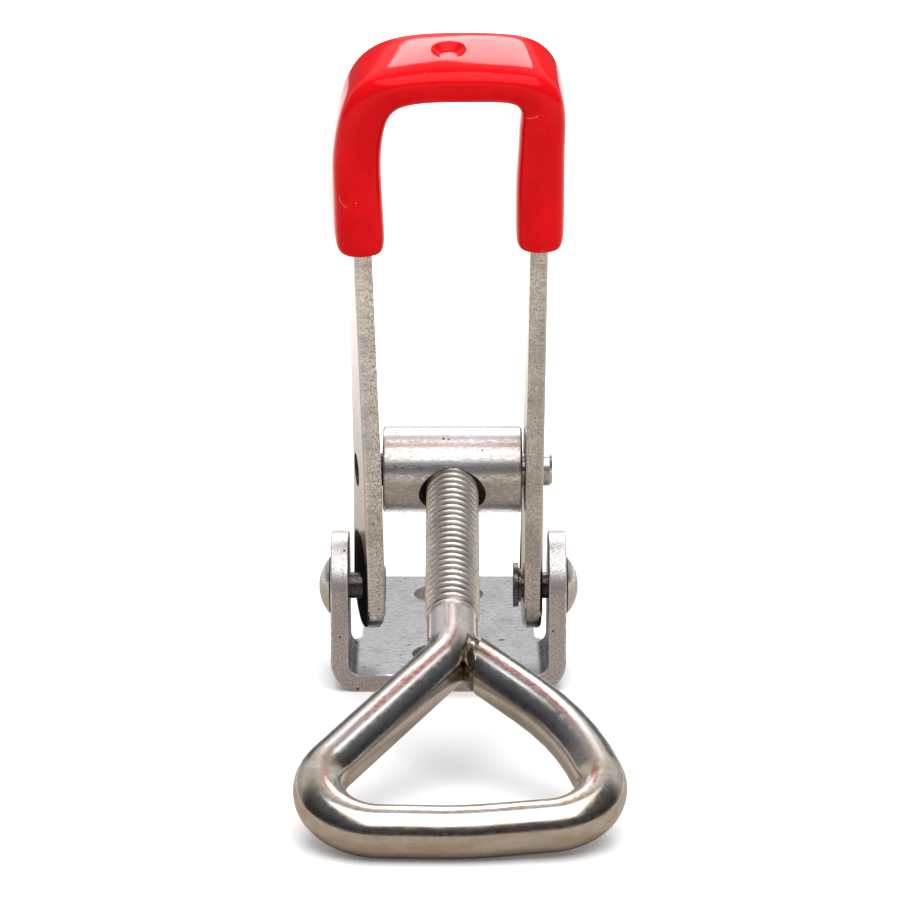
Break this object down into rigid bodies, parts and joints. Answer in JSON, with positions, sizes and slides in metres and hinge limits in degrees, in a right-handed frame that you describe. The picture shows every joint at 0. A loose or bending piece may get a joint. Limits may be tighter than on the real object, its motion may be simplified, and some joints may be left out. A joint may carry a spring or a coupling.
{
  "type": "toggle latch",
  "caption": "Over centre toggle latch: folded steel bracket, dipped arched handle, cross barrel and a threaded wire hook bent to a closed, welded loop.",
  "frame": {"origin": "on the mounting face, midway between the two mounting holes", "axes": "+X across the latch, -Y from the bracket towards the hook's bar, +Z away from the mounting face"},
  "size_m": [0.0338, 0.0951, 0.0751],
  "materials": {
    "pressed_steel": "satin",
    "turned_steel": "satin",
    "wire_steel": "polished",
    "grip_vinyl": "gloss"
  },
  "bodies": {
    "base": {"base_bracket": "pressed_steel", "left_rivet": "turned_steel", "right_rivet": "turned_steel"},
    "handle": {"handle_frame": "pressed_steel", "handle_grip": "grip_vinyl"},
    "barrel": {"cross_barrel": "turned_steel"},
    "hook": {"hook": "wire_steel"}
  },
  "joints": [
    {"name": "handle_pivot", "type": "hinge", "parent": "base", "child": "handle", "pos_m": [0, -0.01375, 0.01075], "axis": [-1, 0, 0], "range_deg": [0, 103]},
    {"name": "barrel_pivot", "type": "hinge", "parent": "handle", "child": "barrel", "pos_m": [0, -0.01478, 0.02468], "axis": [-1, 0, 0], "range_deg": [-83, 0]},
    {"name": "hook_screw", "type": "hinge", "parent": "barrel", "child": "hook", "pos_m": [0.00043, -0.01478, 0.02468], "axis": [0, -0.9353, -0.3538], "continuous": true}
  ],
  "couplings": [
    {"joint": "barrel_pivot", "follows": "handle_pivot", "ratio": -0.8}
  ]
}
